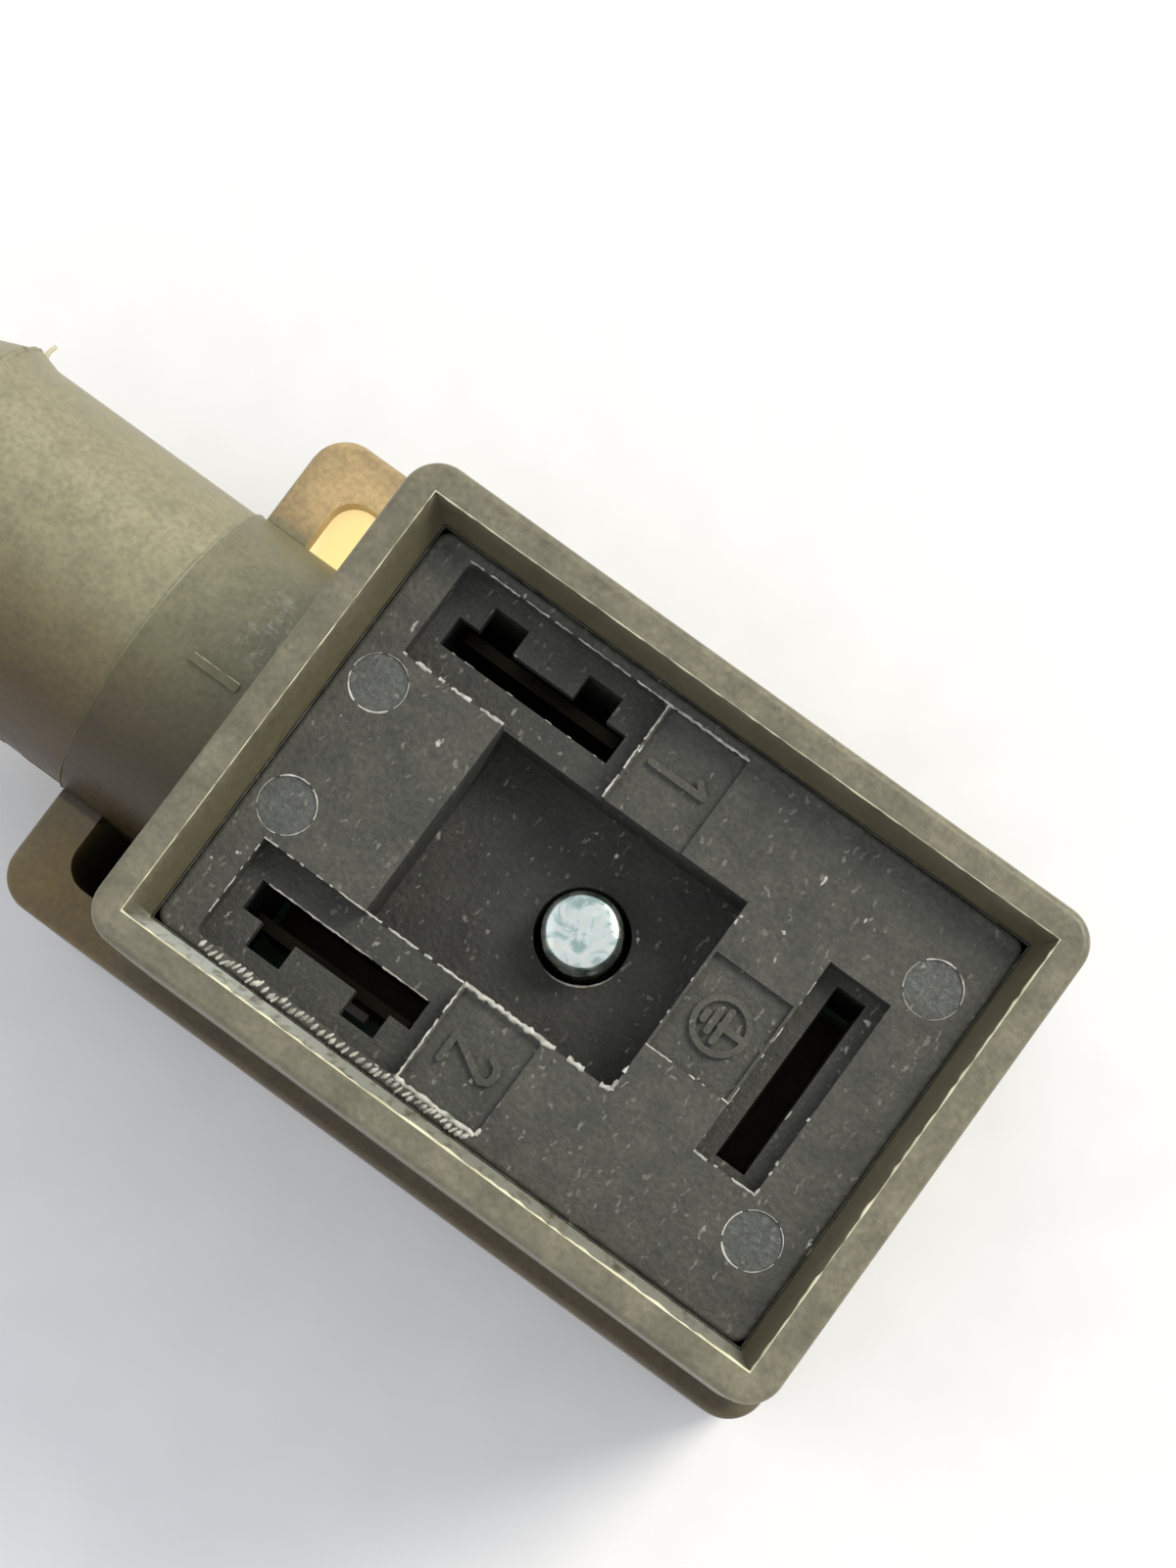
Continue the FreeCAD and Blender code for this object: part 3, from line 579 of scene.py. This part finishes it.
# A turned body. Each ring is (along, radius), where the radius may be a function of the angle; place gives the
# frame's coordinates of a point on it.
def turnedMesh(name, rings, segments, place, bored=False):
    points, faces = [], []
    for along, radius in rings:
        for i in range(segments):
            angle = 2 * math.pi * i / segments
            r = radius(angle) if callable(radius) else radius
            points.append(place(along, r * math.cos(angle), r * math.sin(angle)))
    count = len(rings)
    for k in range(count if bored else count - 1):
        a, b = k * segments, (k + 1) % count * segments
        for i in range(segments):
            j = (i + 1) % segments
            faces.append((a + i, a + j, b + j, b + i))
    if not bored:
        for first, flip in ((0, True), ((count - 1) * segments, False)):
            loop = [first + i for i in range(segments)]
            faces.append(tuple(reversed(loop)) if flip else tuple(loop))
    mesh = bpy.data.meshes.new(name)
    mesh.from_pydata(points, [], faces)
    work = bmesh.new()
    work.from_mesh(mesh)
    bmesh.ops.recalc_face_normals(work, faces=work.faces)
    work.to_mesh(mesh)
    work.free()
    return mesh


threadShape = {"ringsPerPitch": 8, "flankSlope": 1.5, "crestShare": 0.25}


# rings of a helical thread between two places, which runs out over half a pitch at both ends
def threadRings(start, end, crest, depth, pitch):
    rings = []
    steps = max(2, round(abs(end - start) / (pitch / threadShape["ringsPerPitch"])))
    for k in range(steps + 1):
        along = start + (end - start) * k / steps
        fade = min(1, abs(along - start) / (pitch / 2), abs(end - along) / (pitch / 2))

        def radius(angle, along=along, fade=fade):
            turn = (along / pitch - angle / (2 * math.pi)) % 1
            rise = abs(turn - 0.5) * 2 * threadShape["flankSlope"] - threadShape["crestShare"]
            return crest - depth * min(1, max(0, rise)) * fade
        rings.append((along, radius))
    return rings


# mesh minus tool; both are used up
def cutAway(mesh, tool):
    body = bpy.data.objects.new("work", mesh)
    knife = bpy.data.objects.new("knife", tool)
    for o in (body, knife):
        bpy.context.scene.collection.objects.link(o)
    cut = body.modifiers.new("cut", "BOOLEAN")
    cut.object, cut.operation, cut.solver = knife, "DIFFERENCE", "EXACT"
    bpy.context.view_layer.update()
    result = bpy.data.meshes.new_from_object(body.evaluated_get(bpy.context.evaluated_depsgraph_get()))
    bpy.data.objects.remove(body)
    bpy.data.objects.remove(knife)
    return result


def boxMesh(low, high):
    mesh = bpy.data.meshes.new("box")
    work = bmesh.new()
    bmesh.ops.create_cube(work, size=1)
    size = [b - a for a, b in zip(low, high)]
    middle = [(a + b) / 2 for a, b in zip(low, high)]
    for v in work.verts:
        v.co = Vector([(c * s + m) * mm for c, s, m in zip(v.co, size, middle)])
    work.to_mesh(mesh)
    work.free()
    return mesh


# a thin irregular bead along points, six-sided, closed at both ends; flat is its height as a share of its width
def addBead(work, points, radii, flat=0.7):
    rows = []
    for k, point in enumerate(points):
        ahead = Vector(points[min(k + 1, len(points) - 1)]) - Vector(points[max(k - 1, 0)])
        ahead.normalize()
        up = Vector((0, 0, 1)) if abs(ahead.z) < 0.9 else Vector((1, 0, 0))
        out = ahead.cross(up).normalized()
        up = out.cross(ahead)
        row = []
        for i in range(6):
            a = math.pi * i / 3
            aside = out * math.cos(a) + up * flat * math.sin(a)
            row.append(work.verts.new((Vector(point) + radii[k] * aside) * mm))
        rows.append(row)
    for a, b in zip(rows, rows[1:]):
        for i in range(6):
            j = (i + 1) % 6
            work.faces.new((a[i], a[j], b[j], b[i]))
    work.faces.new(list(reversed(rows[0])))
    work.faces.new(rows[-1])


# beads between two points, of random thickness; keep below 1 breaks the line into dots and dashes
def beadLine(work, ends, step, radius, wander, draw, keep=1.0):
    first, last = Vector(ends[0]), Vector(ends[1])
    count = max(2, round((last - first).length / step))
    run, radii = [], []
    for k in range(count + 1):
        if draw.random() <= keep:
            jitter = Vector((draw.uniform(-1, 1), draw.uniform(-1, 1), 0)) * wander
            run.append(first.lerp(last, k / count) + jitter)
            radii.append(radius * draw.uniform(0.55, 1.25))
            continue
        if len(run) > 1:
            addBead(work, run, radii)
        run, radii = [], []
    if len(run) > 1:
        addBead(work, run, radii)


def beadPiece(name, work, material, body):
    mesh = bpy.data.meshes.new(name)
    bmesh.ops.recalc_face_normals(work, faces=work.faces)
    work.to_mesh(mesh)
    work.free()
    addPiece(name, mesh, material, body, 80)


# small real radii on a moulded or stamped part's edges
def softenEdges(node, width, segments=2):
    join = node.modifiers.new("joinFlats", "DECIMATE")
    join.decimate_type, join.angle_limit = "DISSOLVE", math.radians(0.6)
    soften = node.modifiers.new("edgeRadius", "BEVEL")
    soften.width, soften.segments = width * mm, segments
    soften.limit_method, soften.angle_limit = "ANGLE", math.radians(35)
    soften.use_clamp_overlap = True


# gives a part that stays as packed its material and clean shading
def dress(name, material):
    node = nodes[name]
    node.data.materials.clear()
    node.data.materials.append(material)
    node.data.shade_smooth()
    node.data.set_sharp_from_angle(angle=math.radians(30))


# Values named line are a bead line's step, radius and wander; those named spread vary a bead's thickness.
housing = {
    "seed": 11,
    "rimInside": (-12.81, 13.505, 9.0),      # x0, x1, half width of the rim's inner edge
    "rimLine": 0.07,                         # radius of the lit line there
    "rimShares": (1.2, 1.25, 0.7, 0.45),     # of that radius, from the -Y side round by +X
    "rimStep": 0.3,
    "rimWander": 0.25,
    "rimSink": 0.9,                          # share of its radius that lies under the rim
    "nick": ((13.55, -0.75, -0.04), (14.35, -1.75, -0.04)),
    "nickLine": (0.12, 0.035, 0.012),
    "neckAxis": -13.5,
    "neckRadius": 6.25,
    "hoodEnd": -19.51,
    "mouth": -30.26,
    "partingStart": 1.2,                     # from the mouth
    "partingSink": 0.005,
    "partingLine": (0.4, 0.04, 0.006),
    "partingKeep": 0.96,
    "arcSteps": 60,
    "lipRadius": 6.42,
    "lipInset": 0.14,
    "lipBead": (0.16, 0.09),                 # radius at the thick +Y end and elsewhere
    "thickSteps": (1, 14),
    "lipSpread": (0.7, 1.15),
    "collarInset": 0.03,
    "collarBead": 0.075,
    "collarSpread": (0.8, 1.15),
    # burr at the mouth: (dx, dy, dz) from the lip's +Y side, and its radii
    "burrPlace": (0.25, 0.1),                # from the mouth along X, above the axis
    "burr": ((0.0, -0.3, 0.0), (0.02, 0.0, 0.0), (0.0, 0.22, 0.03), (0.04, 0.42, 0.05), (0.1, 0.6, 0.05)),
    "burrRadii": (0.16, 0.13, 0.1, 0.1, 0.08),
    "tick": ((-17.4, 0.16, -7.08), (-15.4, 0.16, -7.08)),    # painted highlight along the collar's raised tick
    "tickLine": (0.2, 0.04, 0.01),
}
dress("housing", smoke)
draw = random.Random(housing["seed"])
# painted light: pale lines along the rim's inner edge and along a nick
work = bmesh.new()
x0, x1, y1 = housing["rimInside"]
corners = [(x0, -y1), (x1, -y1), (x1, y1), (x0, y1)]
for a, b, share in zip(corners, corners[1:] + corners[:1], housing["rimShares"]):
    size = housing["rimLine"] * share
    z = -size * housing["rimSink"]
    beadLine(work, ((*a, z), (*b, z)), housing["rimStep"], size, size * housing["rimWander"], draw)
beadLine(work, housing["nick"], *housing["nickLine"], draw)
beadPiece("rimGlowPaintedEdge", work, ready["glowPaintedPolycarbonateEdge"], "housing")


# points on the upper half of a circle round the neck's axis
def neckArc(x, radius):
    steps = housing["arcSteps"]
    for k in range(steps + 1):
        angle = math.pi * k / steps
        yield x, radius * math.cos(angle), housing["neckAxis"] + radius * math.sin(angle)


work = bmesh.new()
z, mouth, lipRadius = housing["neckAxis"], housing["mouth"], housing["lipRadius"]
for side in (-1, 1):                         # parting line along the neck
    y = side * (housing["neckRadius"] - housing["partingSink"])
    beadLine(work, ((mouth + housing["partingStart"], y, z), (housing["hoodEnd"], y, z)), *housing["partingLine"],
             draw, keep=housing["partingKeep"])
# flash round the mouth's upper half, thick at its +Y end
lip = list(neckArc(mouth + housing["lipInset"], lipRadius))
thickFrom, thickTo = housing["thickSteps"]
thick, thin = housing["lipBead"]
radii = [(thick if thickFrom < k < thickTo else thin) * draw.uniform(*housing["lipSpread"]) for k in range(len(lip))]
addBead(work, lip, radii, flat=0.9)
# soft ridge where the collar meets the neck
inset = housing["collarInset"]
ridge = list(neckArc(housing["hoodEnd"] - inset, housing["neckRadius"] + inset))
addBead(work, ridge, [housing["collarBead"] * draw.uniform(*housing["collarSpread"]) for _ in ridge])
beadPiece("neckFlash", work, smoke, "housing")

# the burr and the tick's line take the pale painted-light colour of a lit edge; the tick's line is a painted
# highlight
work = bmesh.new()
along, above = housing["burrPlace"]
burr = [(mouth + along + dx, lipRadius + dy, z + above + dz) for dx, dy, dz in housing["burr"]]
addBead(work, burr, housing["burrRadii"])
beadLine(work, housing["tick"], *housing["tickLine"], draw)
beadPiece("neckBurrAndTickHighlight", work, ready["glowPaintedPolycarbonateEdge"], "housing")
print("housing dressed")


# Places along the neck are measured outwards from its mouth.
gland = {"mouth": -30.26, "engaged": 5.7, "nose": 2.6, "hexLength": 4.0, "bore": 3.0, "crest": 4.85,
         "threadFrom": 0.3, "threadTo": -0.6, "relief": 0.35, "flange": 6.4, "noseEnd": 5.4, "hexFlats": 9.6,
         "crown": 5.25, "pitch": 1.0, "depth": 0.42, "segments": 96}


# radius of the hexagon at an angle, with its corners turned down to the limit
def hexRadius(limit):
    half = gland["hexFlats"] / 2

    def radius(angle):
        turn = (angle + math.pi / 6) % (math.pi / 3) - math.pi / 6
        return min(limit, half / math.cos(turn))
    return radius


def glandPlace(along, a, b):
    return ((gland["mouth"] - along) * mm, a * mm, (housing["neckAxis"] + b) * mm)


start, crest, bore, flange = -gland["engaged"], gland["crest"], gland["bore"], gland["flange"]
noseAt, noseEnd, crown = gland["nose"], gland["noseEnd"], gland["crown"]
endAt, neck = noseAt + gland["hexLength"], crest - gland["relief"]
rings = [(start, bore + 0.25), (start, crest - 0.5)]
rings += threadRings(start + gland["threadFrom"], gland["threadTo"], crest, gland["depth"], gland["pitch"])
rings += [
    (-0.45, neck), (0.0, neck), (0.0, flange - 0.12), (0.03, flange - 0.03), (0.12, flange),     # flange, edge broken
    (noseAt - 0.15, noseEnd + 0.06), (noseAt - 0.03, noseEnd - 0.02), (noseAt, noseEnd - 0.12),  # cone of the nose
    (noseAt + 0.001, hexRadius(crown)), (noseAt + 0.2, hexRadius(crown)),                        # hexagon
    (endAt - 0.75, hexRadius(crown)), (endAt - 0.35, hexRadius(crown - 0.2)),
    (endAt - 0.1, hexRadius(crown - 0.5)), (endAt, hexRadius(crown - 0.75)),
    (endAt, bore + 0.3), (endAt - 0.08, bore + 0.08), (endAt - 0.3, bore), (start + 0.25, bore),  # bore
]
mesh = turnedMesh("glandScrewTurned", rings, gland["segments"], glandPlace, bored=True)
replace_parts(addPiece("glandScrewTurned", mesh, smoke, "gland", 28), "gland_screw")
dress("cable_grommet", ready["nitrileRubber"])
dress("thrust_washer", ready["naturalNylon"])
print("gland made")


carrier = {
    "seed": 23,
    "edgeRadius": 0.06,
    "face": -2.0,
    "proud": 0.005,                          # bead centres stand this far above their face
    "boss": (-6.315, 4.135, 4.0),            # recess: x0, x1, half width
    "well": (-10.63, -2.07, 8.0),            # live wells: x0, x1, outer side
    "padEnd": 1.30,
    "earthWell": (7.625, 10.175, 4.0),
    "ejectors": ((-10.68, 2.65), (11.025, 5.3)),
    "ejectorRadius": 1.05,
    "ejectorArcs": 5,
    "ejectorHeavy": 2,                       # how many of the arcs are heavy
    "ejectorBead": (0.04, 0.018),
    "ejectorSpread": (0.5, 1.2),
    "edge": (-12.115, 12.81, 8.485),         # x0, x1, half width of the flash round the outer edge
    "edgeSink": 0.12,
    "edgeLine": (0.4, 0.036, 0.004),
    "slotIn": 5.15,                          # inner side of the live slots
    "wellFloor": -3.2,
    "bossFloor": -5.8,
    "rubStep": 0.14,
    "rubWander": 0.4,                        # share of the radius
    # painted highlight on the -Y edge of the screw hole: radius, bead, its first angle and sweep in degrees, steps
    "holeHighlight": (1.79, 0.05, -104, 88, 24),
    "holeHighlightSpread": (0.7, 1.2),
}
dress("contact_carrier", nylon)
softenEdges(nodes["contact_carrier"], carrier["edgeRadius"], 1)
draw = random.Random(carrier["seed"])
work = bmesh.new()
z = carrier["face"] + carrier["proud"]
b0, b1, by = carrier["boss"]
w0, w1, wy = carrier["well"]
p1 = carrier["padEnd"]
e0, e1, ey = carrier["earthWell"]
slotIn = carrier["slotIn"]
deep = carrier["wellFloor"] + carrier["proud"]
# each rubbed edge, pale flash that is also painted highlight where it faces the lamp: its ends, its height, half
# thickness, share of it that is there
rubbedAndLitEdges = (
    ((b0, -by), (w1, -by), z, 0.05, 0.97), ((w1, -by), (b1, -by), z, 0.11, 0.88),
    ((b1, -by), (b1, -by + 0.9), z, 0.09, 0.8), ((w0, by), (b0, by), z, 0.08, 0.85),
    ((w0, wy), (w1, wy), z, 0.035, 0.9), ((w1, wy), (p1, wy), z, 0.06, 0.97),
    ((w0, -by), (b0, -by), z, 0.035, 0.7), ((w0, -wy), (w0, -by), z, 0.03, 0.8),
    ((w1, by), (w1, wy), z, 0.045, 0.98), ((w1, -by), (w1, -wy), z, 0.05, 0.97),
    ((w1, -wy), (p1, -wy), z, 0.11, 0.95), ((p1, -wy), (p1, -wy + 0.35), z, 0.09, 1.0),
    ((w0 + 0.8, -slotIn), (w1 - 0.8, -slotIn), deep, 0.035, 0.95),
    ((w0 + 0.8, slotIn), (w1 - 0.8, slotIn), deep, 0.02, 0.5),
    ((b1, -by + 0.9), (b1, by), z, 0.03, 0.5), ((e0, -ey), (e1, -ey), z, 0.055, 0.7),
    ((e0, -ey), (e0, ey), z, 0.02, 0.5), ((e1, -ey), (e1, -0.5), z, 0.05, 0.45),
    ((b1, -2.0), (e0, -2.0), z, 0.035, 0.7))
for first, last, level, size, keep in rubbedAndLitEdges:
    beadLine(work, ((*first, level), (*last, level)), carrier["rubStep"], size, size * carrier["rubWander"], draw,
             keep)
x = w0 + 0.4
while x < p1 - 0.3:                          # chewed ridge between the lower live well and the wall
    lean = draw.uniform(0.1, 0.24)
    y = -wy - 0.22 + draw.uniform(-0.07, 0.07)
    addBead(work, [(x, y - 0.13, z - 0.03), (x + lean / 2, y, z), (x + lean, y + 0.16, z - 0.03)],
            [0.05, 0.095 * draw.uniform(0.6, 1.2), 0.05])
    x += draw.uniform(0.17, 0.3)
ring, arcs = carrier["ejectorRadius"], carrier["ejectorArcs"]
heavy, light = carrier["ejectorBead"]
for along, aside in carrier["ejectors"]:
    for side in (-1, 1):
        phase = draw.uniform(0, 6)
        for k in range(arcs):                # broken ring left by an ejector pin
            bead = heavy if k < carrier["ejectorHeavy"] else light
            points, radii = [], []
            for i in range(9):
                a = phase + (k + i * 0.105) * 2 * math.pi / arcs
                points.append((along + ring * math.cos(a), side * aside + ring * math.sin(a), z))
                radii.append(bead * draw.uniform(*carrier["ejectorSpread"]))
            addBead(work, points, radii)
# painted highlight: a pale arc on the -Y edge of the screw hole
ring, bead, turn, sweep, steps = carrier["holeHighlight"]
arc, radii = [], []
for k in range(steps + 1):
    a = math.radians(turn + sweep * k / steps)
    arc.append((ring * math.cos(a), ring * math.sin(a), carrier["bossFloor"] + carrier["proud"]))
    radii.append(bead * draw.uniform(*carrier["holeHighlightSpread"]) * math.sin(math.pi * (k + 1) / (steps + 2)))
addBead(work, arc, radii)
beadPiece("carrierFlashAndHighlights", work, ready["rubbedNylonAndHighlight"], "carrier")

work = bmesh.new()
c0, c1, cy = carrier["edge"]
low = z - carrier["edgeSink"]
corners = [(c0, -cy, low), (c1, -cy, low), (c1, cy, low), (c0, cy, low)]
for ends in zip(corners, corners[1:] + corners[:1]):
    beadLine(work, ends, *carrier["edgeLine"], draw)
beadPiece("carrierOuterFlash", work, nylon, "carrier")
print("carrier dressed")


# Tip, seat, foot and thread end are heights; crest, waist and head are radii.
terminals = {"live_1": (-6.35, 5.5), "live_2": (-6.35, -5.5), "earth": (8.9, 0.0)}
terminalScrew = {"tip": -17.0, "seat": -21.0, "foot": -22.4, "crest": 1.25, "depth": 0.2, "pitch": 0.45,
                 "head": 2.1, "slot": 0.6, "slotDepth": 0.7}
fixingScrew = {"tip": -4.1, "threadEnd": -13.75, "waist": 1.1, "seat": -24.7, "foot": -26.9, "crest": 1.45,
               "depth": 0.26, "pitch": 0.5, "head": 2.75, "slot": 0.8, "slotDepth": 1.1}
stampedRadius = 0.08                         # edges of the contacts and clamp plates
tabRadius = 0.05


# slotted screw with a cut thread, a thin waist where there is one, and its point turned with a small dimple
def slottedScrew(name, size, x, y, body, replaced):
    def place(along, a, b):
        return ((x + a) * mm, (y + b) * mm, along * mm)
    crest, tip, head, seat, foot = (size[key] for key in ("crest", "tip", "head", "seat", "foot"))
    waist = size.get("waist")
    threadEnd = size.get("threadEnd", seat + 0.15)
    rings = [(tip - 0.02, 0.25), (tip, 0.4), (tip - 0.015, 0.62), (tip, 0.85), (tip, crest - 0.24),
             (tip - 0.04, crest - 0.16), (tip - 0.2, crest)]
    rings += threadRings(tip - 0.22, threadEnd, crest, size["depth"], size["pitch"])
    if waist:
        rings += [(threadEnd - 0.02, waist + 0.06), (threadEnd - 0.1, waist), (seat + 0.1, waist)]
    rings += [(seat, waist + 0.08 if waist else crest - 0.1), (seat, head - 0.12), (seat - 0.04, head - 0.03),
              (seat - 0.14, head), (foot + 0.3, head), (foot + 0.1, head - 0.07), (foot + 0.02, head - 0.2),
              (foot, head - 0.34), (foot, 0.3)]
    half = size["slot"] / 2
    knife = boxMesh((x - head - 1, y - half, foot - 1), (x + head + 1, y + half, foot + size["slotDepth"]))
    mesh = cutAway(turnedMesh(name, rings, 64, place), knife)
    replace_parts(addPiece(name, mesh, zinc, body, 30), replaced)


for name, (x, y) in terminals.items():
    dress(name + "_contact", tin)
    softenEdges(nodes[name + "_contact"], stampedRadius)
    dress(name + "_clamp_plate", zinc)
    softenEdges(nodes[name + "_clamp_plate"], stampedRadius)
    slottedScrew(name + "_screw_threaded", terminalScrew, x, y, name + "_screw", name + "_terminal_screw")
print("terminals made")

dress("circuit_board", solderMask())
dress("indicator_led", ready["tintedEpoxy"])
dress("varistor", ready["dippedEpoxy"])
low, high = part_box("series_resistor")
middle = (low.x + high.x) / 2 / mm
reach = (high.x - low.x) / 2 / mm - 0.85     # the wires' ends stay out of the bands
dress("series_resistor", bandedLacquer((middle - reach, middle + reach)))
dress("board_tabs", tin)
softenEdges(nodes["board_tabs"], tabRadius)
print("board dressed")

slottedScrew("fixing_screw_threaded", fixingScrew, 0, 0, "screw", "fixing_screw")
dress("screw_seal", ready["nitrileRubber"])
print("fixing screw made")
